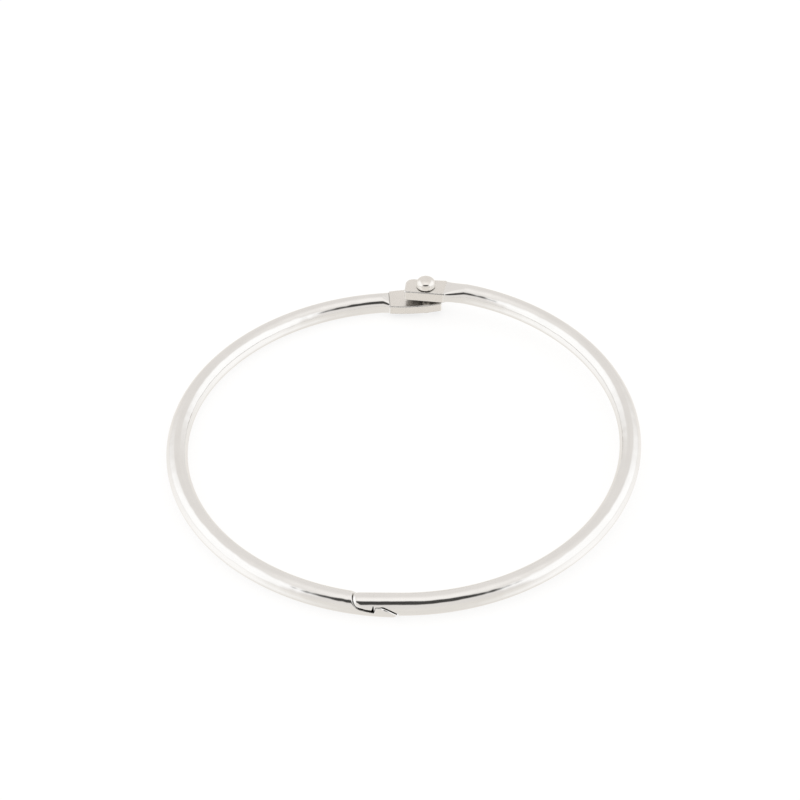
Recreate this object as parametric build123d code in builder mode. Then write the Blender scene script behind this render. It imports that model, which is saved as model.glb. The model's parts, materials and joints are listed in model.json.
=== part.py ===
from build123d import *
from math import asin, cos, degrees, radians, sin, sqrt
import os

os.makedirs("parts", exist_ok=True)

# Hinged loose-leaf ring of bent round wire. Millimetres, +Z up.
# The ring lies on its side. The origin is the ring's centre, at the level it lies on.
# The hinge is at +Y and the latch at -Y.

# Ring and wire
ring_inner_diameter = 76.2
wire_diameter = 3.75

# How the right half lies against the flat left half
latch_rise = 0.2
right_half_shift = 0.2

# Hinge tabs, stamped flat from the ends of the wire
lower_tab_thickness = 1.8
upper_tab_thickness = 2.05
upper_tab_drop = 0.125
tab_gap = 1.2
tab_edge_radius = 0.2
tab_outer_corner = 1.5
tab_inner_corner = 0.3

# Lower tab, on the left half: its sides bulge, and it narrows to its tip
left_root_to_rivet = 6.9
left_tip_to_rivet = 2.9
left_ramp_length = 1.4
left_root_width = 4.8
left_belly_width = 5.4
left_tip_width = 4.4

# Upper tab, on the right half
right_root_to_rivet = 3.7
right_tip_to_rivet = 3.9
right_bend_to_rivet = 7.1
right_root_width = 4.4
right_tip_width = 4.1

# Rivet
rivet_angle = 83.4
rivet_inset = 0.18
shank_diameter = 1.9
hinge_clearance = 0.05
head_clearance = 0.1
dome_diameter = 3.6
dome_height = 1.65
dome_rim_height = 0.35
dome_rim_radius = 0.12
lower_head_diameter = 2.8
lower_head_height = 0.5
lower_head_round = 0.3

# Latch: a lower tongue with a tooth on the left half, and a nose that hooks over it
lap_height = 0.23
lap_length = 7.15
lap_clearance = 0.1
tongue_tip_x = -1.35
tongue_tip_thickness = 1.375
tongue_tip_round = 0.8
tongue_dip = 0.32
tongue_dip_angle = 12
tooth_height = 0.73
tooth_lean = 0.3
tooth_crest = 0.8
tooth_back_bulge = 0.16
nose_length = 3.4
nose_end_radius = 2.0
nose_relief = 0.36
nose_straight_x = -0.9

# Where the round wire's section is split to meet the edges of a flat tab, in degrees
tab_side_angle = 17
tab_corner_angle = 27

# Heights and radii that follow from these sizes
wire_radius = wire_diameter / 2
shank_radius = shank_diameter / 2
ring_radius = (ring_inner_diameter + wire_diameter) / 2
left_z = wire_radius
upper_tab_z = left_z + lower_tab_thickness / 2 + tab_gap + upper_tab_thickness / 2
right_hinge_z = upper_tab_z + upper_tab_drop
right_latch_z = left_z + latch_rise
right_tilt = asin((right_hinge_z - right_latch_z) / (2 * ring_radius))
left_tab_length = left_root_to_rivet + left_tip_to_rivet


def arc_degrees(length):
    """Angle that a length along the wire takes up."""
    return degrees(length / ring_radius)


def outward(angle):
    """Unit vector from the ring's centre, at an angle from +X."""
    return Vector(cos(radians(angle)), sin(radians(angle)), 0)


def wire_plane(half_plane, angle):
    """Plane across the wire, with X pointing away from the ring's centre."""
    origin = half_plane.from_local_coords(outward(angle) * ring_radius)
    x_dir = half_plane.from_local_coords(outward(angle)) - half_plane.origin
    z_dir = half_plane.from_local_coords(outward(angle + 90)) - half_plane.origin
    return Plane(origin=origin, x_dir=x_dir, z_dir=z_dir)


def split_circle(plane):
    """The wire's round section as eight arcs, one for each edge of a flat tab's section."""
    right_splits = [-tab_corner_angle, -tab_side_angle, tab_side_angle, tab_corner_angle]
    splits = right_splits + [angle + 180 for angle in right_splits]
    with BuildSketch(plane) as section:
        with BuildLine():
            for first, last in zip(splits, splits[1:] + [splits[0] + 360]):
                CenterArc((0, 0), wire_radius, first, last - first)
        make_face()
    return section.sketch


rivet_point = outward(rivet_angle) * (ring_radius - rivet_inset)
left_root_angle = rivet_angle + arc_degrees(left_root_to_rivet)
left_arc_start = left_root_angle + arc_degrees(left_ramp_length)
left_arc_end = 270 + degrees(asin(tongue_tip_x / ring_radius))
right_arc_start = -90 + degrees(asin(nose_straight_x / ring_radius))
right_arc_end = rivet_angle - arc_degrees(right_bend_to_rivet)

left_plane = Plane(origin=(0, 0, left_z))
right_plane = Plane(
    origin=(0, right_half_shift, (right_hinge_z + right_latch_z) / 2),
    x_dir=(1, 0, 0),
    z_dir=(0, -sin(right_tilt), cos(right_tilt)),
)
left_tab_plane = Plane(
    origin=left_plane.from_local_coords(outward(left_root_angle) * ring_radius),
    x_dir=outward(left_root_angle - 90),
    z_dir=(0, 0, 1),
)
right_tab_plane = Plane(
    origin=(rivet_point.X, rivet_point.Y, upper_tab_z),
    x_dir=outward(rivet_angle + 90),
    z_dir=(0, 0, -1),
)
rivet_plane = Plane(
    origin=(rivet_point.X, rivet_point.Y, left_z),
    x_dir=(1, 0, 0),
    z_dir=(0, -1, 0),
)

# Latch profile in X and Z: the shoulder's arc, the dip, the tooth, and its back down to the tip
lap_z = left_z + lap_height
shoulder_x = tongue_tip_x - lap_length
hook_x = shoulder_x + nose_length
nose_height = left_z + wire_radius - lap_z
nose_arc_x = shoulder_x + sqrt(nose_end_radius**2 - (nose_end_radius - nose_height) ** 2)
nose_arc_z = lap_z + nose_end_radius
dip_start_x = nose_arc_x - nose_end_radius * sin(radians(tongue_dip_angle))
dip_start_z = nose_arc_z - nose_end_radius * cos(radians(tongue_dip_angle))
tooth_top = lap_z + tooth_height
tooth_back_x = hook_x + tooth_lean + tooth_crest
tongue_tip_z = left_z - wire_radius + tongue_tip_thickness
latch_reach = ring_radius + wire_diameter


def round_tip():
    """Round the tip of a tab: X runs to the tip, and Y away from the ring's centre."""
    fillet(vertices().group_by(Axis.X)[-1].sort_by(Axis.Y)[-1], tab_outer_corner)
    fillet(vertices().group_by(Axis.X)[-1].sort_by(Axis.Y)[0], tab_inner_corner)


def lap_line():
    """Upper side of the tongue, from above the wire to the tip."""
    CenterArc((nose_arc_x, nose_arc_z), nose_end_radius, 180, 90 - tongue_dip_angle)
    Polyline(
        (dip_start_x, dip_start_z),
        (hook_x, lap_z - tongue_dip),
        (hook_x + tooth_lean, tooth_top),
        (tooth_back_x, tooth_top),
    )
    SagittaArc((tooth_back_x, tooth_top), (tongue_tip_x, tongue_tip_z), tooth_back_bulge)


# Left half of the ring
with BuildPart() as left_half_ring:
    with BuildSketch(left_tab_plane):
        with BuildLine():
            ThreePointArc(
                (0, -left_root_width / 2),
                (left_tab_length / 2, -left_belly_width / 2),
                (left_tab_length, -left_tip_width / 2),
            )
            Line((left_tab_length, -left_tip_width / 2), (left_tab_length, left_tip_width / 2))
            ThreePointArc(
                (left_tab_length, left_tip_width / 2),
                (left_tab_length / 2, left_belly_width / 2),
                (0, left_root_width / 2),
            )
            Line((0, left_root_width / 2), (0, -left_root_width / 2))
        make_face()
        round_tip()
    extrude(amount=lower_tab_thickness / 2, both=True)
    along_tab = Axis(left_tab_plane.origin, left_tab_plane.x_dir)
    rim = faces().filter_by(Axis.Z).edges().sort_by(along_tab)[2:]
    fillet(rim, tab_edge_radius)
    with Locations(Plane(origin=rivet_plane.origin)):
        Hole(shank_radius)
    # Ramp from the flat tab up to the round wire
    tab_root = faces().sort_by(along_tab)[0]
    loft([tab_root, split_circle(wire_plane(left_plane, left_arc_start))])
    # Round wire
    with BuildLine(left_plane) as left_path:
        CenterArc((0, 0), ring_radius, left_arc_start, left_arc_end - left_arc_start)
    with BuildSketch(wire_plane(left_plane, left_arc_start)):
        Circle(wire_radius)
    sweep(path=left_path.line)
    # Tongue and tooth
    with BuildSketch(Plane.XZ):
        with BuildLine():
            lap_line()
            Polyline(
                (tongue_tip_x, tongue_tip_z),
                (tongue_tip_x + wire_diameter, tongue_tip_z),
                (tongue_tip_x + wire_diameter, nose_arc_z),
                (nose_arc_x - nose_end_radius, nose_arc_z),
            )
        make_face()
    extrude(amount=latch_reach, mode=Mode.SUBTRACT)
    tongue_end = faces().filter_by(GeomType.PLANE).sort_by_distance(left_path.line @ 1)[0]
    fillet(tongue_end.edges().filter_by(GeomType.CIRCLE), tongue_tip_round)

left_half_ring.part.label = "left_half_ring"
export_step(left_half_ring.part, "parts/left_half_ring.step")

# Right half of the ring
with BuildPart() as right_half_ring:
    with BuildSketch(right_tab_plane):
        with BuildLine():
            Polyline(
                (-right_root_to_rivet, -right_root_width / 2),
                (right_tip_to_rivet, -right_tip_width / 2),
                (right_tip_to_rivet, right_tip_width / 2),
                (-right_root_to_rivet, right_root_width / 2),
                close=True,
            )
        make_face()
        round_tip()
    extrude(amount=upper_tab_thickness / 2, both=True)
    along_tab = Axis(right_tab_plane.origin, right_tab_plane.x_dir)
    rim = faces().filter_by(Axis.Z).edges().sort_by(along_tab)[2:]
    fillet(rim, tab_edge_radius)
    with Locations(Plane(origin=right_tab_plane.origin)):
        Hole(shank_radius + hinge_clearance)
    # Bend from the flat tab into the round wire
    tab_root = faces().sort_by(along_tab)[0]
    loft([tab_root, split_circle(wire_plane(right_plane, right_arc_end))])
    # Round wire, straight at the latch
    with BuildLine(right_plane) as right_path:
        arc = CenterArc((0, 0), ring_radius, right_arc_start, right_arc_end - right_arc_start)
        straight_length = nose_straight_x - shoulder_x + wire_radius
        Line(arc @ 0, arc @ 0 - (arc % 0) * straight_length)
    with BuildSketch(wire_plane(right_plane, right_arc_end)):
        Circle(wire_radius)
    sweep(path=right_path.line)
    # Nose and notch, clear of the tongue
    with BuildSketch(Plane.XZ):
        with BuildLine():
            lap_line()
            Polyline(
                (tongue_tip_x, tongue_tip_z),
                (tongue_tip_x, -wire_radius),
                (shoulder_x - wire_diameter, -wire_radius),
                (shoulder_x - wire_diameter, nose_arc_z),
                (nose_arc_x - nose_end_radius, nose_arc_z),
            )
        make_face()
        offset(amount=lap_clearance)
    extrude(amount=latch_reach, mode=Mode.SUBTRACT)
    # Relief that leaves the nose bearing on its hook
    with BuildSketch(Plane.XZ):
        with BuildLine():
            Polyline(
                (dip_start_x, dip_start_z),
                (hook_x, lap_z - tongue_dip),
                (hook_x, lap_z + nose_relief),
                close=True,
            )
        make_face()
    extrude(amount=latch_reach, mode=Mode.SUBTRACT)

right_half_ring.part.label = "right_half_ring"
export_step(right_half_ring.part, "parts/right_half_ring.step")

# Rivet, held tight in the lower tab and free to turn in the upper one
lower_head_top = -lower_tab_thickness / 2
dome_base = lower_tab_thickness / 2 + tab_gap + upper_tab_thickness + head_clearance
dome_radius = dome_diameter / 2
with BuildPart() as rivet:
    with BuildSketch(rivet_plane):
        with BuildLine():
            Polyline(
                (0, dome_base + dome_height),
                (0, lower_head_top - lower_head_height),
                (lower_head_diameter / 2, lower_head_top - lower_head_height),
                (lower_head_diameter / 2, lower_head_top),
                (shank_radius, lower_head_top),
                (shank_radius, dome_base),
                (dome_radius, dome_base),
                (dome_radius, dome_base + dome_rim_height),
            )
            TangentArc(
                (0, dome_base + dome_height),
                (dome_radius, dome_base + dome_rim_height),
                tangent=(1, 0),
            )
        make_face()
        fillet(vertices().group_by(Axis.Y)[0].sort_by(Axis.X)[-1], lower_head_round)
        fillet(vertices().group_by(Axis.X)[-1].sort_by(Axis.Y)[0], dome_rim_radius)
    revolve(axis=Axis(rivet_plane.origin, (0, 0, 1)))

rivet.part.label = "rivet"
export_step(rivet.part, "parts/rivet.step")
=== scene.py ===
"""Looks of a hinged loose-leaf ring: two bent and stamped wire halves and their rivet, in bright nickel.

Each half is one smooth skin. It is made of closed sections, found where a distance function is zero,
so every stamped or cut edge has the small round that plating leaves on it. Shapes are worked out in
millimetres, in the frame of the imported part, and written to the meshes in metres.
"""

import json
from math import asin, cos, pi, radians, sin, sqrt

import bpy
import numpy as np
from mathutils import Matrix, Vector


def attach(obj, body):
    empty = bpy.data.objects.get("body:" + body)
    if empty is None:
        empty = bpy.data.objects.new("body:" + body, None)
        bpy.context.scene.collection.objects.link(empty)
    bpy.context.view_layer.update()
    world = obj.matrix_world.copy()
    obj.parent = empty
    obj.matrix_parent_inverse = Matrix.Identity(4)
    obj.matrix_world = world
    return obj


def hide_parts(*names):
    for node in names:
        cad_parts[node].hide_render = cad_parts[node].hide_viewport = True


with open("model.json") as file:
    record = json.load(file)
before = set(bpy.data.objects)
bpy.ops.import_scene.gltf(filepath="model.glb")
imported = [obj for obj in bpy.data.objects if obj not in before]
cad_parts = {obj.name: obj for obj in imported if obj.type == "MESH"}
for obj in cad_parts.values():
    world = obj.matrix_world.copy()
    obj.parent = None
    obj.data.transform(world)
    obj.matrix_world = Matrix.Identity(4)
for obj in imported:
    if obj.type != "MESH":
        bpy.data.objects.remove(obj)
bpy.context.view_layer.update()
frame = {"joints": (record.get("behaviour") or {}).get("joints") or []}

METRES = 0.001

# Ring and wire
ring_inner_diameter = 76.2
wire_radius = 1.875
ring_radius = ring_inner_diameter / 2 + wire_radius
latch_rise = 0.2
right_half_shift = 0.2

# Hinge tabs
lower_tab_thickness = 1.8
upper_tab_thickness = 2.05
upper_tab_drop = 0.125
tab_gap = 1.2
tab_edge_radius = 0.2
tab_outer_corner = 1.5
tab_inner_corner = 0.3
left_root_to_rivet = 6.9
left_tip_to_rivet = 2.9
left_ramp_length = 1.4
left_root_width = 4.8
left_belly_width = 5.4
left_tip_width = 4.4
right_root_to_rivet = 3.7
right_tip_to_rivet = 3.9
right_bend_to_rivet = 7.7
right_root_width = 4.4
right_tip_width = 4.1

# Ramps from tab to wire: the left one is stamped, with a step and a fine groove at its foot
groove_share = 0.14
stamped_ramp = {"height": 0.35, "inset": 0.4, "groove": 0.22, "corner": 0.7, "opening": 1.0}
plain_ramp = {"height": 0.0, "inset": 0.0, "groove": 0.0, "corner": tab_edge_radius, "opening": 0.5}

# Rivet
shank_radius = 0.95
hinge_clearance = 0.05
head_clearance = 0.1
dome_radius = 1.8
dome_height = 1.65
dome_rim_height = 0.35
dome_rim_radius = 0.2
dome_fullness = 2.7
lower_head_radius = 1.4
lower_head_height = 0.5
lower_head_round = 0.3
lower_head_seat_round = 0.06

# Latch
lap_height = 0.23
lap_length = 7.35
lap_clearance = 0.03
dip_clearance = 0.5
tooth_clearance = 0.05
back_clearance = 0.24
tongue_tip_x = -1.35
tongue_tip_thickness = 1.375
tongue_tip_round = 0.7
tongue_dip = 0.32
tongue_dip_angle = 12
tooth_height = 0.73
tooth_lean = 0.3
tooth_crest = 0.8
tooth_back_bulge = 0.16
tooth_round = 0.12
tooth_back_round = 0.45
nose_length = 3.6
nose_end_radius = 2.0
nose_end_round = 0.8
nose_relief = 0.36
nose_straight_x = -0.9
shoulder_round = 0.25
cut_edge_round = 0.12

# Stretches over which the latch's rounds and gaps change, from the place that each goes with
tip_stretch = (-1.2, -0.3)
tip_rise = (0.2, 0.6)
shoulder_stretch = (0.6, 1.6)
back_stretch = (-0.1, 0.6)
dip_stretch = (-1.8, -0.1)
hook_stretch = (-0.1, 0.05)
slope_stretch = (-0.2, 0.5)
nose_stretch = (0.8, 2.4)
nose_rise = (0, 1.0)

# Heights that follow
left_z = wire_radius
tab_gap_middle_z = left_z + lower_tab_thickness / 2 + tab_gap / 2
upper_tab_z = left_z + lower_tab_thickness / 2 + tab_gap + upper_tab_thickness / 2
right_hinge_z = upper_tab_z + upper_tab_drop
right_latch_z = left_z + latch_rise
right_tilt = asin((right_hinge_z - right_latch_z) / (2 * ring_radius))

# How fine the skins are
section_points = 96
scan_points = 120
arc_step = 1.0
fine_step = 0.02
coarse_step = 0.07
even_reach = 8
ray_reach = 1.6 * 2 * wire_radius
scan_halvings = 12
final_halvings = 26
hair = 1e-3
tip_sections = 60
left_tab_sections = 50
right_tab_sections = 40
dome_rows = 40
rivet_sides = 128
drill_sides = 96
smooth_limit = radians(50)


def outward(angle):
    """Unit vector from the ring's centre, at an angle in degrees from +X."""
    return np.array([cos(radians(angle)), sin(radians(angle)), 0.0])


UP = np.array([0.0, 0.0, 1.0])
rivet_point = np.array(frame["joints"][0]["pos_m"]) / METRES
rivet_angle = np.degrees(np.arctan2(rivet_point[1], rivet_point[0]))


def arc_degrees(length):
    """Angle that a length along the wire takes up."""
    return np.degrees(length / ring_radius)


left_root_angle = rivet_angle + arc_degrees(left_root_to_rivet)
left_arc_start = left_root_angle + arc_degrees(left_ramp_length)
right_arc_end = rivet_angle - arc_degrees(right_bend_to_rivet)
right_straight_angle = -90 + np.degrees(asin(nose_straight_x / ring_radius))

# The tilted plane of the right half: its origin, and its Y and Z directions
tilt_origin = np.array([0, right_half_shift, (right_hinge_z + right_latch_z) / 2])
tilt_y = np.array([0, cos(right_tilt), sin(right_tilt)])
tilt_z = np.array([0, -sin(right_tilt), cos(right_tilt)])


def tilted(point):
    """A point or direction of the right half's own plane, in the part's frame, without the origin."""
    return point[..., :1] * np.array([1.0, 0, 0]) + point[..., 1:2] * tilt_y + point[..., 2:] * tilt_z


# Distance functions, negative inside the metal

def rounded_cut(first, second, radius):
    """What lies inside both shapes, with a round of that radius on the edge where they meet."""
    inner = np.minimum(np.maximum(first, second), -radius)
    return inner + np.hypot(np.maximum(first + radius, 0), np.maximum(second + radius, 0))


def outline_distance(points, outline):
    """Signed distance in a plane from points to a closed outline, negative inside it."""
    flat = points.reshape(-1, 2)
    gap = np.full(len(flat), np.inf)
    inside = np.zeros(len(flat), bool)
    for start, end in zip(outline, np.roll(outline, -1, axis=0)):
        side = end - start
        offset = flat - start
        along = np.clip(offset @ side / (side @ side), 0, 1)
        gap = np.minimum(gap, np.hypot(*(offset - along[:, None] * side).T))
        if start[1] != end[1]:
            spans = (start[1] > flat[:, 1]) != (end[1] > flat[:, 1])
            crossing = start[0] + (flat[:, 1] - start[1]) * side[0] / side[1]
            inside ^= spans & (flat[:, 0] < crossing)
    return np.where(inside, -gap, gap).reshape(points.shape[:-1])


def arc_points(centre, radius, first, last, count):
    """Points along an arc, angles in degrees."""
    angles = np.radians(np.linspace(first, last, count))
    return np.array(centre) + radius * np.stack([np.cos(angles), np.sin(angles)], -1)


def through_points(start, middle, end, count=25):
    """Points along the shallow curve through three points."""
    start, middle, end = map(np.array, (start, middle, end))
    share = np.linspace(0, 1, count)[:, None]
    rise = middle - (start + end) / 2
    return start + (end - start) * share + rise * 4 * share * (1 - share)


def round_corner(before, corner, after, radius, count=9):
    """Points of the arc that rounds the corner between two straight lines."""
    before, corner, after = map(np.array, (before, corner, after))
    to_before = (before - corner) / np.linalg.norm(before - corner)
    to_after = (after - corner) / np.linalg.norm(after - corner)
    half_angle = np.arccos(np.clip(to_before @ to_after, -1, 1)) / 2
    middle = to_before + to_after
    centre = corner + middle / np.linalg.norm(middle) * radius / sin(half_angle)
    start = corner + to_before * radius / np.tan(half_angle) - centre
    end = corner + to_after * radius / np.tan(half_angle) - centre
    turn = np.arctan2(start[0] * end[1] - start[1] * end[0], start @ end)
    angles = np.arctan2(start[1], start[0]) + turn * np.linspace(0, 1, count)
    return centre + radius * np.stack([np.cos(angles), np.sin(angles)], -1)


# Latch outline in X and Z
lap_z = left_z + lap_height
shoulder_x = tongue_tip_x - lap_length
hook_x = shoulder_x + nose_length
nose_height = left_z + wire_radius - lap_z
nose_arc_x = shoulder_x + sqrt(nose_end_radius**2 - (nose_end_radius - nose_height) ** 2)
nose_arc_z = lap_z + nose_end_radius
hook_foot = (hook_x, lap_z - tongue_dip)
tooth_front = (hook_x + tooth_lean, lap_z + tooth_height)
tooth_back = (tooth_front[0] + tooth_crest, tooth_front[1])
tongue_tip = (tongue_tip_x, left_z - wire_radius + tongue_tip_thickness)
far = 3 * wire_radius


def lap_line():
    """Upper side of the tongue, from above the wire down to the tip."""
    arc = arc_points((nose_arc_x, nose_arc_z), nose_end_radius, 180, 270 - tongue_dip_angle, 40)
    chord = np.subtract(tongue_tip, tooth_back)
    across = np.array([-chord[1], chord[0]]) / np.linalg.norm(chord)
    back_middle = (np.add(tongue_tip, tooth_back) / 2) + across * tooth_back_bulge
    back = through_points(tooth_back, back_middle, tongue_tip)
    front_round = round_corner(hook_foot, tooth_front, tooth_back, tooth_round)
    back_round = round_corner(tooth_front, tooth_back, back[4], tooth_round)
    return np.vstack([arc, [hook_foot], front_round, back_round, back[4:]])


upper_line = lap_line()
above_tongue = np.vstack(
    [upper_line, [(tongue_tip_x, -far), (far, -far), (far, nose_arc_z), upper_line[0]]]
)[:-1]
below_nose = np.vstack([upper_line, [(tongue_tip_x, -far), (-2 * far, -far), (-2 * far, nose_arc_z)]])
relief = np.array([upper_line[39], hook_foot, (hook_x, lap_z + nose_relief)])


def smooth_step(value, low, high):
    """0 below low, 1 above high, and an even rise between them."""
    share = np.clip((value - low) / (high - low), 0, 1)
    return share * share * (3 - 2 * share)


def change(value, place, stretch):
    """0 before a stretch that is measured from a place, 1 after it, and an even rise along it."""
    return smooth_step(value, place + stretch[0], place + stretch[1])


def left_latch(points):
    """Left half's wire, what is cut away over its tongue, and the round of the edge between them."""
    ring = np.hypot(points[..., 0], points[..., 1]) - ring_radius
    wire = np.hypot(ring, points[..., 2] - left_z) - wire_radius
    profile = points[..., [0, 2]]
    cut = -outline_distance(profile, above_tongue)
    cut = np.where(points[..., 1] < 0, cut, -far)
    end = change(points[..., 0], tongue_tip_x, tip_stretch)
    end = end * change(-points[..., 2], -tongue_tip[1], tip_rise)
    start = 1 - change(points[..., 0], shoulder_x, shoulder_stretch)
    back = change(points[..., 0], tooth_back[0], back_stretch)
    radius = cut_edge_round + (shoulder_round - cut_edge_round) * start
    radius = radius + (tooth_back_round - cut_edge_round) * back * (1 - end)
    radius = radius + (tongue_tip_round - cut_edge_round) * end
    return wire, cut, radius


def right_latch(points):
    """Right half's wire, what is cut away under its nose, and the round of the edge between them."""
    offset = points - tilt_origin
    x, y, z = offset[..., 0], offset @ tilt_y, offset @ tilt_z
    wire = np.hypot(np.hypot(x, y) - ring_radius, z) - wire_radius
    out = outward(right_straight_angle)
    straight = np.hypot(x * out[0] + y * out[1] - ring_radius, z) - wire_radius
    at_latch = (y < 0) & (x * out[1] - y * out[0] > 0)
    wire = np.where(at_latch, straight, wire)
    profile = points[..., [0, 2]]
    over_dip = change(points[..., 0], nose_arc_x, dip_stretch)
    over_tooth = change(points[..., 0], hook_x, hook_stretch)
    over_back = change(points[..., 0], tooth_back[0], slope_stretch)
    clearance = lap_clearance + (dip_clearance - lap_clearance) * over_dip
    clearance = clearance + (tooth_clearance - clearance) * over_tooth
    clearance = clearance + (back_clearance - clearance) * over_back
    cut = clearance - outline_distance(profile, below_nose)
    cut = np.maximum(cut, -outline_distance(profile, relief))
    cut = np.where(points[..., 1] < 0, cut, -far)
    end = 1 - change(points[..., 0], shoulder_x, nose_stretch)
    end = end * change(points[..., 2], lap_z, nose_rise)
    radius = cut_edge_round + (nose_end_round - cut_edge_round) * end
    return wire, cut, radius


def left_wire(points):
    return rounded_cut(*left_latch(points))


def right_wire(points):
    return rounded_cut(*right_latch(points))


def tab_outline(length, sides, tip_half_width):
    """A tab's plan, from its root at X 0 to its tip, whose corners are rounded."""
    upper = np.array(sides)
    lower = upper * [1, -1]
    outer = round_corner(upper[-2], (length, tip_half_width), (length, 0), tab_outer_corner, 17)
    inner = round_corner((length, 0), (length, -tip_half_width), lower[-2], tab_inner_corner)
    upper = upper[upper[:, 0] < outer[0, 0]]
    lower = lower[lower[:, 0] < inner[-1, 0]]
    beyond = [(-far, lower[0, 1]), (-far, upper[0, 1])]
    return np.vstack([upper, outer, inner, lower[::-1], beyond])


def tab_middle(outline, along):
    """Middle of a tab's width at places along it."""
    tip = np.argmax(outline[:, 0])
    upper, lower = outline[: tip + 1], outline[tip + 1 : -2][::-1]
    return (np.interp(along, *upper.T) + np.interp(along, *lower.T)) / 2


class Tab:
    """A stamped tab, which runs from its root to its tip."""

    def __init__(self, root, along, across, outline, thickness):
        self.root, self.along, self.across = root, along, across
        self.outline, self.thickness = outline, thickness

    def walls(self, points):
        """Distances to the tab's sides and to its faces."""
        offset = points - self.root
        plan = outline_distance(np.stack([offset @ self.along, offset @ self.across], -1), self.outline)
        return plan, np.abs(offset[..., 2]) - self.thickness / 2

    def distance(self, points):
        return rounded_cut(*self.walls(points), tab_edge_radius)

    def loops(self, places):
        middles = tab_middle(self.outline, places)
        centres = self.root + places[:, None] * self.along + middles[:, None] * self.across
        count = len(places)
        return section_loops(self.distance, stations_at(centres, [self.across] * count, [UP] * count))

    def edge_share(self, points):
        """1 on the rounded edges, 0 on the flat faces."""
        return smooth_step(np.minimum(*self.walls(points)), -tab_edge_radius, -tab_edge_radius / 2)


# Skins

def surface_reach(distance, angles, stations, halvings):
    """Where each ray of each section leaves the metal, found by halving."""
    along = np.cos(angles)[..., None] * stations["side"][:, None]
    along = along + np.sin(angles)[..., None] * stations["up"][:, None]
    low = np.zeros(angles.shape)
    high = np.full(angles.shape, ray_reach)
    for _ in range(halvings):
        middle = (low + high) / 2
        inside = distance(stations["centre"][:, None] + middle[..., None] * along) < 0
        low = np.where(inside, middle, low)
        high = np.where(inside, high, middle)
    return stations["centre"][:, None] + ((low + high) / 2)[..., None] * along


def deepest_points(distance, stations, reach):
    """Moves each station's centre to the point of its section that is deepest in the metal."""
    spread = np.linspace(-1, 1, 9)
    across, above = (grid.ravel() for grid in np.meshgrid(spread, spread))
    while reach > 0.01:
        offsets = across[:, None] * stations["side"][:, None] + above[:, None] * stations["up"][:, None]
        tries = stations["centre"][:, None] + reach * offsets
        best = np.argmin(distance(tries), axis=1)
        stations["centre"] = tries[np.arange(len(best)), best]
        reach = reach / 3
    return stations


def evened(rows):
    """Running mean over neighbouring sections, so that points don't jump from one to the next."""
    reach = min(even_reach, (len(rows) - 1) // 2)
    padded = np.concatenate([rows[:1]] * reach + [rows] + [rows[-1:]] * reach)
    weights = np.ones(2 * reach + 1) / (2 * reach + 1)
    flat = padded.reshape(len(padded), -1)
    mean = np.stack([np.convolve(column, weights, "valid") for column in flat.T], -1)
    return mean.reshape(rows.shape)


def section_loops(distance, stations):
    """Points round every section, more of them where it turns sharply."""
    count = len(stations["centre"])
    scan = np.tile(np.linspace(0, 2 * pi, scan_points + 1), (count, 1))
    coarse = surface_reach(distance, scan[:, :-1], stations, scan_halvings)
    steps = np.roll(coarse, -1, axis=1) - coarse
    length = np.linalg.norm(steps, axis=-1)
    heading = np.arctan2(
        (steps * stations["up"][:, None]).sum(-1), (steps * stations["side"][:, None]).sum(-1)
    )
    turn = np.abs((heading - np.roll(heading, 1, axis=1) + pi) % (2 * pi) - pi)
    turn = (turn + np.roll(turn, -1, axis=1)) / 2
    weight = length / length.sum(1, keepdims=True) + turn / turn.sum(1, keepdims=True)
    total = np.concatenate([np.zeros((count, 1)), np.cumsum(weight, axis=1)], axis=1)
    wanted = np.arange(section_points) / section_points
    angles = np.array([np.interp(wanted * row[-1], row, angle) for row, angle in zip(total, scan)])
    return surface_reach(distance, evened(angles), stations, final_halvings)


def skin(name, loops):
    """One closed mesh through all the sections, from a list of closed loops in millimetres."""
    count = len(loops)
    rows = np.arange(count * section_points).reshape(count, section_points)
    following = np.roll(rows, -1, axis=1)
    quads = np.stack([rows[:-1], following[:-1], following[1:], rows[1:]], -1).reshape(-1, 4)
    faces = quads.tolist() + [rows[0][::-1].tolist(), rows[-1].tolist()]
    mesh = bpy.data.meshes.new(name)
    mesh.from_pydata((loops.reshape(-1, 3) * METRES).tolist(), [], faces)
    mesh.validate()
    mesh.polygons.foreach_set("use_smooth", [True] * len(mesh.polygons))
    piece = bpy.data.objects.new(name, mesh)
    bpy.context.scene.collection.objects.link(piece)
    return piece


def mark(piece, name, share):
    """Stores on each point of the mesh how far a mark holds there, from 0 to 1."""
    made = piece.data.attributes.new(name, "FLOAT", "POINT")
    made.data.foreach_set("value", share.astype(np.float32))


def mark_faces(piece, tab, tab_points, latch, plain_points):
    """Marks the cut faces of the latch and the rounded edges of the tab."""
    places = np.array([point.co for point in piece.data.vertices]) / METRES
    wire, cut, edge_round = latch(places)
    cut_share = smooth_step(cut - wire, 0.5 * edge_round, edge_round + 0.1)
    cut_share[:plain_points] = 0
    mark(piece, "cut_face", cut_share)
    edge_share = np.zeros(len(places))
    edge_share[:tab_points] = tab.edge_share(places[:tab_points])
    mark(piece, "tab_edge", edge_share)


def stations_at(centres, sides, ups):
    return {"centre": np.array(centres), "side": np.array(sides), "up": np.array(ups)}


def latch_columns(first, last, fine_zones):
    """Positions along X of the latch's sections, close together where its outline is steep."""
    columns = [np.arange(first, last, coarse_step), [last]]
    for low, high in fine_zones:
        columns.append(np.arange(low, high, fine_step))
    columns = np.unique(np.round(np.concatenate(columns), 4))
    return columns[(columns >= first) & (columns <= last)]


def eased(count, first, last):
    """Numbers from first to last that crowd together towards both ends."""
    return first + (last - first) * (1 - np.cos(np.linspace(0, pi, count))) / 2


def tab_places(length, count):
    """Places of a tab's sections from its tip to its root, close together at the rounded tip."""
    tip = eased(tip_sections, length - hair, length - tab_outer_corner)
    return np.concatenate([tip, np.linspace(length - tab_outer_corner, 0, count)[1:]])


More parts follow.
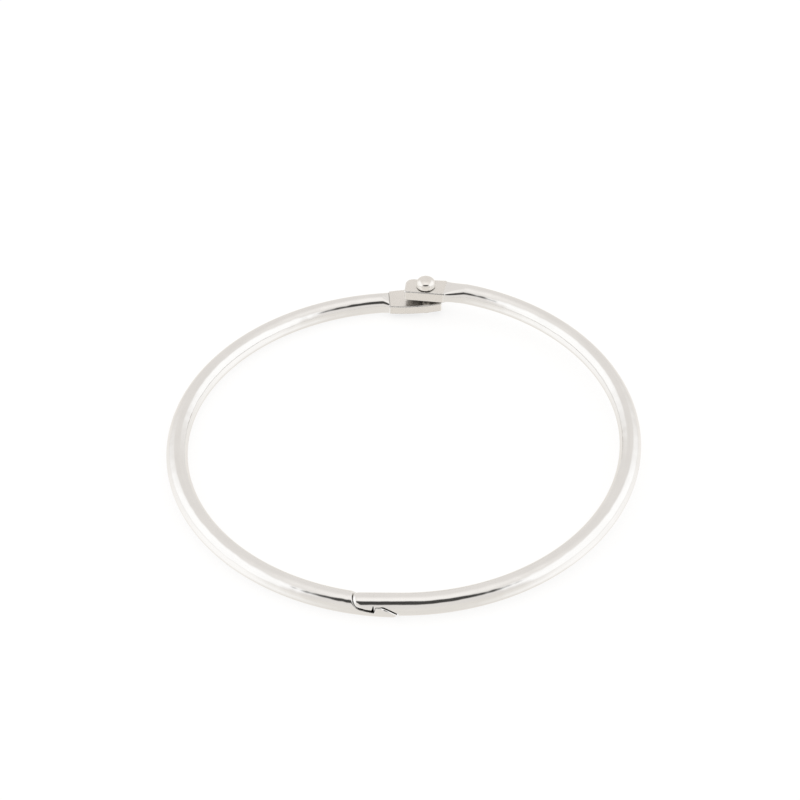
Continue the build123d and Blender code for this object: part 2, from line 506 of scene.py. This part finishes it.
latch_zone = shoulder_x - 0.5
fan_degrees = 16
nose_degrees = 4.0
left_wire_search = 1.7
right_wire_search = 1.9


def fan_angle(angle, latch_angle):
    """Direction of a section: across the wire along the arc, and along Y at the latch."""
    share = np.clip(abs(angle - latch_angle) / fan_degrees, 0, 1)
    return latch_facing(angle) * (1 - share) + angle * share


def latch_facing(angle):
    return 270.0 if angle > 90 else -90.0


def left_half():
    """Tab, ramp, wire and tongue of the left half."""
    tab_length = left_root_to_rivet + left_tip_to_rivet
    tab_x = outward(left_root_angle - 90)
    tab_y = outward(left_root_angle)
    root = tab_y * ring_radius + UP * left_z
    sides = through_points(
        (0, left_root_width / 2), (tab_length / 2, left_belly_width / 2), (tab_length, left_tip_width / 2)
    )
    outline = tab_outline(tab_length, sides, left_tip_width / 2)
    tab = Tab(root, tab_x, tab_y, outline, lower_tab_thickness)
    along = tab_places(tab_length, left_tab_sections)
    tab_loops = tab.loops(along)

    ramp_loops = ramp(
        root, tab_y, UP, (left_root_width, lower_tab_thickness),
        outward(left_arc_start) * ring_radius + UP * left_z, outward(left_arc_start), UP, stamped_ramp,
    )

    latch_angle = 270 - np.degrees(asin(-latch_zone / ring_radius))
    arc = np.arange(left_arc_start, latch_angle, arc_step)[1:]
    facing = [outward(fan_angle(angle, latch_angle)) for angle in arc]
    arc_centres = [outward(angle) * ring_radius + UP * left_z for angle in arc]
    fine = [
        (shoulder_x - 0.3, shoulder_x + 0.7),
        (hook_x - 0.1, tooth_back[0] + 0.1),
        (tongue_tip_x - tongue_tip_round, tongue_tip_x),
    ]
    columns = latch_columns(latch_zone, tongue_tip_x - hair, fine)
    latch_centres = [(x, -sqrt(ring_radius**2 - x * x), left_z) for x in columns]
    stations = stations_at(
        arc_centres + latch_centres,
        facing + [outward(-90)] * len(columns),
        [UP] * (len(arc) + len(columns)),
    )
    wire_loops = section_loops(left_wire, deepest_points(left_wire, stations, left_wire_search))
    made = skin("left_half_skin", np.concatenate([tab_loops, ramp_loops, wire_loops]))
    tab_points = len(tab_loops) * section_points
    mark_faces(made, tab, tab_points, left_latch, tab_points + len(ramp_loops) * section_points)
    return made


def right_half():
    """Tab, bend, wire and nose of the right half."""
    tab_x = outward(rivet_angle + 90)
    tab_y = outward(rivet_angle)
    tab_length = right_root_to_rivet + right_tip_to_rivet
    rivet_at = np.array([rivet_point[0], rivet_point[1], upper_tab_z])
    root = rivet_at - tab_x * right_root_to_rivet
    share = np.linspace(0, 1, 25)
    half_widths = (right_root_width + (right_tip_width - right_root_width) * share) / 2
    sides = np.stack([tab_length * share, half_widths], -1)
    outline = tab_outline(tab_length, sides, right_tip_width / 2)
    tab = Tab(root, tab_x, tab_y, outline, upper_tab_thickness)
    along = tab_places(tab_length, right_tab_sections)
    tab_loops = tab.loops(along)

    bend_end = tilt_origin + tilted(outward(right_arc_end) * ring_radius)
    ramp_loops = ramp(
        root, tab_y, UP, (right_root_width, upper_tab_thickness),
        bend_end, tilted(outward(right_arc_end)), tilt_z, plain_ramp,
    )

    full_wire_angle = -90 + nose_degrees
    arc = np.arange(right_arc_end, full_wire_angle, -arc_step)[1:]
    facing = [tilted(outward(fan_angle(angle, full_wire_angle))) for angle in arc]
    arc_centres = [tilt_origin + tilted(outward(angle) * ring_radius) for angle in arc]
    nose_x = nose_end_x()
    fine = [
        (nose_x, nose_x + 0.7),
        (hook_x - 0.3, tooth_back[0] + 0.2),
        (tongue_tip_x - 0.2, tongue_tip_x + lap_clearance + 0.3),
    ]
    full_wire_x = ring_radius * sin(radians(full_wire_angle + 90))
    columns = latch_columns(nose_x, full_wire_x, fine)[::-1]
    latch_y = right_half_shift - ring_radius * cos(right_tilt)
    latch_centres = [(x, latch_y, right_latch_z) for x in columns]
    stations = stations_at(
        arc_centres + latch_centres,
        facing + [outward(-90)] * len(columns),
        [tilt_z] * len(arc) + [UP] * len(columns),
    )
    wire_loops = section_loops(right_wire, deepest_points(right_wire, stations, right_wire_search))
    made = skin("right_half_skin", np.concatenate([tab_loops, ramp_loops, wire_loops]))
    tab_points = len(tab_loops) * section_points
    mark_faces(made, tab, tab_points, right_latch, tab_points + len(ramp_loops) * section_points)
    return made


def nose_end_x():
    """Where the nose's rounded end begins, found on a fine grid of its profile."""
    latch_y = right_half_shift - ring_radius * cos(right_tilt)
    heights = np.linspace(left_z, right_latch_z + wire_radius, 200)
    low, high = shoulder_x - 0.5, hook_x
    while high - low > 1e-4:
        middle = (low + high) / 2
        column = np.stack([np.full(200, middle), np.full(200, latch_y), heights], -1)
        if right_wire(column).min() < 0:
            high = middle
        else:
            low = middle
    return high + hair


def ramp(root, root_side, root_up, size, end, end_side, end_up, form):
    """Sections between a tab's root and the round wire: rectangles whose corners open into circles.

    The form says how high the ramp stands above the tab, how far its sides lean in above, how deep the
    groove at its foot is, its first corner radius, and the power at which its corners open."""
    share = np.linspace(0, 1, 42)
    if form["groove"]:
        share = np.concatenate([np.linspace(0, groove_share, 12), np.linspace(groove_share, 1, 42)[1:]])
    share = share[1:]
    rise = smooth_step(share, groove_share / 2, groove_share)
    groove = smooth_step(share, 0, groove_share / 4) * (1 - rise) * form["groove"]
    narrowing = wire_radius - size[0] / 2
    half_width = size[0] / 2 + narrowing * share - form["inset"] / 2 * rise * (1 - share)
    lean = form["inset"] / size[1] * rise * (1 - share)
    top = size[1] / 2 + form["height"] * rise * (1 - share) + (wire_radius - size[1] / 2) * share - groove
    bottom = size[1] / 2 + (wire_radius - size[1] / 2) * share
    corner = tab_edge_radius + (form["corner"] - tab_edge_radius) * rise
    half_height = (top + bottom) / 2
    corner = np.minimum(corner + (wire_radius - corner) * share ** form["opening"], half_height)

    def across(first, second):
        mixed = first + (second - first) * share[:, None]
        return mixed / np.linalg.norm(mixed, axis=1, keepdims=True)

    ups = across(root_up, end_up)
    middles = root + (end - root) * share[:, None] + ups * (top - bottom)[:, None] / 2
    stations = stations_at(middles, across(root_side, end_side), ups)
    origin = stations["centre"][:, None]

    def rounded(points):
        offset = points - origin
        y = (offset * stations["side"][:, None]).sum(-1)
        z = (offset * stations["up"][:, None]).sum(-1)
        width = half_width[:, None] - lean[:, None] * z
        return rounded_cut(np.abs(y) - width, np.abs(z) - half_height[:, None], corner[:, None])

    return section_loops(rounded, stations)


def drill(piece, radius, low, high):
    """Cuts the rivet's hole through a tab."""
    count = drill_sides
    angles = np.arange(count) * 2 * pi / count
    circle = rivet_point[:2] + radius * np.stack([np.cos(angles), np.sin(angles)], -1)
    corners = [(x * METRES, y * METRES, z * METRES) for z in (low, high) for x, y in circle]
    sides = [(i, (i + 1) % count, (i + 1) % count + count, i + count) for i in range(count)]
    mesh = bpy.data.meshes.new("drill")
    mesh.from_pydata(corners, [], sides + [tuple(range(count))[::-1], tuple(range(count, 2 * count))])
    tool = bpy.data.objects.new("drill", mesh)
    bpy.context.scene.collection.objects.link(tool)
    cut = piece.modifiers.new("hole", "BOOLEAN")
    cut.operation = "DIFFERENCE"
    cut.solver = "EXACT"
    cut.object = tool
    bpy.context.view_layer.update()
    graph = bpy.context.evaluated_depsgraph_get()
    drilled = bpy.data.meshes.new_from_object(piece.evaluated_get(graph), depsgraph=graph)
    piece.modifiers.clear()
    piece.data = drilled
    drilled.name = piece.name
    drilled.polygons.foreach_set("use_smooth", [True] * len(drilled.polygons))
    drilled.set_sharp_from_angle(angle=smooth_limit)
    bpy.data.objects.remove(tool)


def rivet():
    """Domed rivet, turned about its own axis."""
    lower_top = left_z - lower_tab_thickness / 2
    lower_bottom = lower_top - lower_head_height
    dome_base = upper_tab_z + upper_tab_thickness / 2 + head_clearance
    rim = dome_base + dome_rim_height
    around = np.linspace(0, pi / 2, dome_rows)
    cap_radii = dome_radius * np.cos(around) ** (2 / dome_fullness)
    cap_heights = rim + (dome_height - dome_rim_height) * np.sin(around) ** (2 / dome_fullness)
    cap = np.stack([cap_radii, cap_heights], -1)
    under_edge, seat_edge = (lower_head_radius, lower_bottom), (lower_head_radius, lower_top)
    profile = np.vstack([
        [(0, lower_bottom)],
        round_corner((0, lower_bottom), under_edge, seat_edge, lower_head_round),
        round_corner(under_edge, seat_edge, (0, lower_top), lower_head_seat_round, 5),
        [(shank_radius, lower_top), (shank_radius, dome_base)],
        round_corner((0, dome_base), (dome_radius, dome_base), (dome_radius, rim), dome_rim_radius),
        cap[:-1],
        [(0, dome_base + dome_height)],
    ])
    count = rivet_sides
    angles = np.arange(count) * 2 * pi / count
    ring = np.stack([np.cos(angles), np.sin(angles)], -1)
    points = [(*rivet_point[:2], profile[0, 1])]
    for radius, height in profile[1:-1]:
        points += [(rivet_point[0] + radius * x, rivet_point[1] + radius * y, height) for x, y in ring]
    points.append((*rivet_point[:2], profile[-1, 1]))
    faces = [(0, 1 + (i + 1) % count, 1 + i) for i in range(count)]
    for row in range(len(profile) - 3):
        first = 1 + row * count
        for i in range(count):
            j = (i + 1) % count
            faces.append((first + i, first + j, first + count + j, first + count + i))
    last = 1 + (len(profile) - 3) * count
    faces += [(last + i, last + (i + 1) % count, len(points) - 1) for i in range(count)]
    mesh = bpy.data.meshes.new("rivet_turned")
    mesh.from_pydata((np.array(points) * METRES).tolist(), [], faces)
    mesh.polygons.foreach_set("use_smooth", [True] * len(mesh.polygons))
    mesh.set_sharp_from_angle(angle=smooth_limit)
    piece = bpy.data.objects.new("rivet_turned", mesh)
    bpy.context.scene.collection.objects.link(piece)
    return piece


# Materials

class Nodes:
    """Short way to write a material's or the world's node tree."""

    def __init__(self, owner):
        owner.use_nodes = True
        self.tree = owner.node_tree
        self.tree.nodes.clear()

    def add(self, kind, inputs=None, **settings):
        made = self.tree.nodes.new("ShaderNode" + kind)
        for name, value in settings.items():
            setattr(made, name, value)
        for key, value in (inputs or {}).items():
            if isinstance(value, bpy.types.NodeSocket):
                self.tree.links.new(value, made.inputs[key])
            else:
                made.inputs[key].default_value = value
        return made

    def math(self, operation, *values):
        return self.add("Math", dict(enumerate(values)), operation=operation).outputs[0]

    def step(self, value, low, high, start=0.0, end=1.0):
        """Start below low, end above high, and an even rise between them."""
        inputs = {"Value": value, "From Min": low, "From Max": high, "To Min": start, "To Max": end}
        return self.add("MapRange", inputs, interpolation_type="SMOOTHSTEP").outputs[0]

    def mix(self, share, first, second):
        """Colour between the first and the second."""
        return self.add("Mix", {0: share, 6: first, 7: second}, data_type="RGBA").outputs[2]

    def bump(self, height, strength, distance, normal=None):
        inputs = {"Strength": strength, "Distance": distance, "Height": height}
        if normal:
            inputs["Normal"] = normal
        return self.add("Bump", inputs).outputs[0]

    def output(self, kind, shader):
        self.tree.links.new(shader.outputs[0], self.add(kind).inputs["Surface"])

    def noise(self, vector, scale, detail=2.0, roughness=0.5):
        inputs = {"Vector": vector, "Scale": scale, "Detail": detail, "Roughness": roughness}
        return self.add("TexNoise", inputs).outputs["Fac"]


nickel = (0.79, 0.79, 0.785, 1.0)
nickel_light = (0.815, 0.815, 0.81, 1.0)
stamped_nickel = (0.78, 0.765, 0.74, 1.0)
stamped_nickel_light = (0.80, 0.785, 0.76, 1.0)
cut_nickel = (0.66, 0.645, 0.615, 1.0)
# Painted shade for crevices: the dark tone mixed in, how far the occlusion test reaches, the open shares
# between which it fades in, and how much further cut faces are pushed into it
painted_crevice_shade = (0.07, 0.062, 0.052, 1.0)
crevice_shade_reach = 0.0022
crevice_shade_closed, crevice_shade_open = 0.12, 0.58
cut_face_shade_shift = -0.2
mask_softness = 0.15

# How dense the marks in the metal are, in marks per metre
fine_mark_scale = 5200.0
broad_mark_scale = 1500.0
cloud_scale = 260.0
grain_scale = 900.0
wave_scale = 300.0
drawn_stretch = 0.03

# How high they stand, in metres
wave_height = 0.00011
fine_mark_height = 0.000004
broad_mark_height = 0.000010
grain_height = 0.000003


def nickel_plate(name, tab_from, tab_to, wire_roughness, tab_roughness, crevice_shade_depth=1.0):
    """Bright nickel on drawn wire: fine marks run along the wire, and stamped and cut faces are duller.
    Crevices on the tabs, cut faces and rivet also get painted shade: a near-black tone mixed into the
    colour where ambient occlusion finds them closed in.

    The tab lies between two angles about the ring's centre, in degrees."""
    material = bpy.data.materials.new(name)
    nodes = Nodes(material)
    place = nodes.add("TexCoord").outputs["Object"]
    x, y, z = nodes.add("SeparateXYZ", {0: place}).outputs
    squares = nodes.math("ADD", nodes.math("MULTIPLY", x, x), nodes.math("MULTIPLY", y, y))
    radius = nodes.math("SQRT", squares)
    turn = nodes.math("ARCTAN2", y, nodes.math("ABSOLUTE", x))
    length = nodes.math("MULTIPLY", turn, ring_radius * METRES)
    stretched = nodes.math("MULTIPLY", length, drawn_stretch)
    drawn = nodes.add("CombineXYZ", {0: radius, 1: z, 2: stretched}).outputs[0]

    fine_marks = nodes.noise(drawn, fine_mark_scale, 3.0)
    broad_marks = nodes.noise(drawn, broad_mark_scale, 1.0)
    clouds = nodes.noise(place, cloud_scale, 3.0)
    grain = nodes.noise(place, grain_scale, 1.0)
    waves = nodes.noise(place, wave_scale, 1.0)

    angle = nodes.math("ARCTAN2", y, x)
    soft = mask_softness
    after = nodes.step(angle, radians(tab_from - soft), radians(tab_from + soft))
    before = nodes.step(angle, radians(tab_to - soft), radians(tab_to + soft), 1.0, 0.0)
    edge = nodes.add("Attribute", attribute_name="tab_edge").outputs["Fac"]
    tab = nodes.math("MULTIPLY", after, before)
    cut = nodes.add("Attribute", attribute_name="cut_face").outputs["Fac"]
    stamped = nodes.math("MAXIMUM", tab, cut)
    tab_face = nodes.math("MULTIPLY", tab, nodes.math("SUBTRACT", 1.0, edge))
    worked = nodes.math("MAXIMUM", tab_face, cut)

    marks = nodes.math("MULTIPLY_ADD", clouds, 0.6, nodes.math("MULTIPLY", broad_marks, 0.4))
    drawn_colour = nodes.mix(nodes.step(marks, 0.35, 0.65), nickel, nickel_light)
    stamped_colour = nodes.mix(nodes.step(grain, 0.3, 0.7), stamped_nickel, stamped_nickel_light)
    clean = nodes.mix(cut, nodes.mix(tab_face, drawn_colour, stamped_colour), cut_nickel)
    # Painted shade: where ambient occlusion finds a tab, cut face or rivet closed in, as in the gap
    # between the tabs, under the dome and in the latch, the colour goes towards a near-black tone
    open_share = nodes.add("AmbientOcclusion", {"Distance": crevice_shade_reach}, samples=32).outputs["AO"]
    open_share = nodes.math("MULTIPLY_ADD", cut, cut_face_shade_shift, open_share)
    closed_in = nodes.step(open_share, crevice_shade_closed, crevice_shade_open, crevice_shade_depth, 0.0)
    painted_shade = nodes.math("MULTIPLY", closed_in, stamped)
    colour = nodes.mix(painted_shade, clean, painted_crevice_shade)

    polish = nodes.step(clouds, 0.3, 0.7, wire_roughness - 0.02, wire_roughness + 0.02)
    dull = nodes.step(grain, 0.3, 0.7, tab_roughness - 0.015, tab_roughness + 0.015)
    rough = nodes.math("MULTIPLY_ADD", worked, nodes.math("SUBTRACT", dull, polish), polish)

    wire_only = nodes.math("SUBTRACT", 1.0, nodes.math("MAXIMUM", worked, edge))
    fine = nodes.math("MULTIPLY", fine_marks, wire_only)
    broad = nodes.math("MULTIPLY", broad_marks, wire_only)
    tumbled = nodes.math("MULTIPLY", grain, worked)
    wave_bump = nodes.bump(nodes.math("MULTIPLY", waves, wire_only), 1.0, wave_height)
    fine_bump = nodes.bump(fine, 0.2, fine_mark_height, wave_bump)
    broad_bump = nodes.bump(broad, 0.4, broad_mark_height, fine_bump)
    tab_bump = nodes.bump(tumbled, 0.2, grain_height, broad_bump)
    inputs = {"Base Color": colour, "Metallic": 1.0, "Roughness": rough, "Normal": tab_bump}
    shader = nodes.add("BsdfPrincipled", inputs)
    nodes.output("OutputMaterial", shader)
    return material


# The pieces

left = left_half()
drill(left, shank_radius, -far, tab_gap_middle_z)
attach(left, "left_half")
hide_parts("left_half_ring")

right = right_half()
drill(right, shank_radius + hinge_clearance, tab_gap_middle_z, 3 * far)
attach(right, "right_half")
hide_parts("right_half_ring")

pin = rivet()
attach(pin, "left_half")
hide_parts("rivet")

wire_polish = 0.09
tab_polish = 0.28
# How deep the painted shade in the rivet's crevices goes, round its heads and shank
shank_shade_depth = 0.35
past_tip = 12
upper_tab_from = rivet_angle - arc_degrees(right_root_to_rivet)

left.data.materials.append(
    nickel_plate("nickel_left", rivet_angle - past_tip, left_root_angle, wire_polish, tab_polish)
)
right.data.materials.append(
    nickel_plate("nickel_right", upper_tab_from, rivet_angle + past_tip, wire_polish, tab_polish)
)
pin.data.materials.append(
    nickel_plate("nickel_rivet", -180, 180, wire_polish, wire_polish, shank_shade_depth)
)


# Studio

wall_tone = (0.905, 0.868, 0.833)
box_tone = (0.335, 0.36, 0.385)
ceiling_tone = (0.24, 0.24, 0.24)
floor_tone = (0.925, 0.885, 0.835, 1.0)
floor_pool_tone = (0.27, 0.29, 0.32)
floor_width = 6.0
floor_diffuse = (0.25, 0.25, 0.25, 1.0)
floor_glow = 0.78
camera_card_place = (-0.0075, -0.2644, 0.3292)
camera_card_facing = (0, 0.7566, -0.6539)


def studio():
    """Light from all round: pale walls, a soft box on each side, a brighter ceiling, and a cream floor.

    The floor's part stands for the real floor in reflections, with a pool of light under each box."""
    world = bpy.data.worlds.new("studio")
    bpy.context.scene.world = world
    nodes = Nodes(world)
    x, y, z = nodes.add("SeparateXYZ", {0: nodes.add("TexCoord").outputs["Generated"]}).outputs
    sideways = nodes.math("ARCTAN2", nodes.math("ABSOLUTE", x), z)
    backwards = nodes.math("ARCSINE", y)
    from_top = nodes.math("ARCCOSINE", z)

    def window(value, opens, opened, closes, closed):
        """1 between two angles in degrees, with soft edges."""
        rise = nodes.step(value, radians(opens), radians(opened))
        return nodes.math("MULTIPLY", rise, nodes.step(value, radians(closes), radians(closed), 1.0, 0.0))

    def plus(light, share, tone):
        return nodes.add("VectorMath", {0: share, 1: tone, 2: light}, operation="MULTIPLY_ADD").outputs[0]

    box = nodes.math("MULTIPLY", window(sideways, 25, 42, 78, 100), window(backwards, -47, -28, 24, 58))
    pool = nodes.math("MULTIPLY", window(sideways, 88, 92, 128, 168), window(backwards, -55, -12, 0, 74))
    ceiling = nodes.step(from_top, 0.0, radians(43), 1.0, 0.0)
    above = plus(plus(wall_tone, box, box_tone), ceiling, ceiling_tone)
    below = plus(floor_tone[:3], pool, floor_pool_tone)
    light = nodes.mix(nodes.step(z, -0.03, 0.03), below, above)
    colour = nodes.mix(nodes.add("LightPath").outputs["Is Camera Ray"], light, (1.0, 1.0, 1.0, 1.0))
    nodes.output("OutputWorld", nodes.add("Background", {"Color": colour, "Strength": 1.0}))


def plane(name, width, height, material):
    """A flat stage object about its own middle."""
    x, y = width / 2, height / 2
    mesh = bpy.data.meshes.new(name)
    mesh.from_pydata([(-x, -y, 0), (x, -y, 0), (x, y, 0), (-x, y, 0)], [], [(0, 1, 2, 3)])
    mesh.materials.append(material)
    made = bpy.data.objects.new(name, mesh)
    bpy.context.scene.collection.objects.link(made)
    return made


def floor():
    """Pale floor: white to the camera, and a little darker in the ring's shadow."""
    material = bpy.data.materials.new("pale_floor")
    nodes = Nodes(material)
    to_camera = nodes.add("LightPath").outputs["Is Camera Ray"]
    diffuse = nodes.add("BsdfDiffuse", {"Color": nodes.mix(to_camera, floor_tone, floor_diffuse)})
    glow = nodes.add("Emission", {"Strength": nodes.math("MULTIPLY", to_camera, floor_glow)})
    nodes.output("OutputMaterial", nodes.add("AddShader", {0: diffuse.outputs[0], 1: glow.outputs[0]}))
    made = plane("floor", floor_width, floor_width, material)
    made.visible_glossy = False


def camera_front():
    """The dark front of the camera, an oval with soft edges, which only reflections show."""
    half_width, half_height = 0.278, 0.132
    softness = 0.3
    darkness = 0.93
    material = bpy.data.materials.new("camera_dark")
    nodes = Nodes(material)
    x, y, _ = nodes.add("SeparateXYZ", {0: nodes.add("TexCoord").outputs["Object"]}).outputs
    across = nodes.math("DIVIDE", x, half_width)
    along = nodes.math("DIVIDE", y, half_height)
    reach = nodes.math("MULTIPLY_ADD", across, across, nodes.math("MULTIPLY", along, along))
    share = nodes.step(nodes.math("SQRT", reach), 1 - softness, 1 + softness, darkness, 0.0)
    clear = nodes.add("BsdfTransparent")
    dark = nodes.add("Emission", {"Color": (0.0, 0.0, 0.0, 1.0)})
    card = nodes.add("MixShader", {0: share, 1: clear.outputs[0], 2: dark.outputs[0]})
    nodes.output("OutputMaterial", card)
    span = 2 * (1 + softness)
    made = plane("camera_front", span * half_width, span * half_height, material)
    made.rotation_mode = "QUATERNION"
    made.rotation_quaternion = Vector(camera_card_facing).to_track_quat("Z", "Y")
    made.location = camera_card_place
    made.visible_camera = False
    made.visible_diffuse = False
    made.visible_shadow = False


studio()
floor()
camera_front()

bpy.context.scene.view_settings.view_transform = "Standard"

# Camera at the photograph's place
camera_elevation = radians(40.84)
camera_roll = radians(-0.555)
camera_place = Vector((-0.000519, -0.28362, 0.256895))
forward = Vector((0, cos(camera_elevation), -sin(camera_elevation)))
level_right = Vector((1, 0, 0))
level_up = level_right.cross(forward)
camera_right = level_right * cos(camera_roll) + level_up * sin(camera_roll)
camera_up = level_up * cos(camera_roll) - level_right * sin(camera_roll)
lens = bpy.data.cameras.new("camera")
lens.sensor_width = 36
lens.lens = 96.894
camera = bpy.data.objects.new("camera", lens)
bpy.context.scene.collection.objects.link(camera)
camera.matrix_world = Matrix.Translation(camera_place) @ Matrix(
    (camera_right, camera_up, -forward)
).transposed().to_4x4()
bpy.context.scene.camera = camera
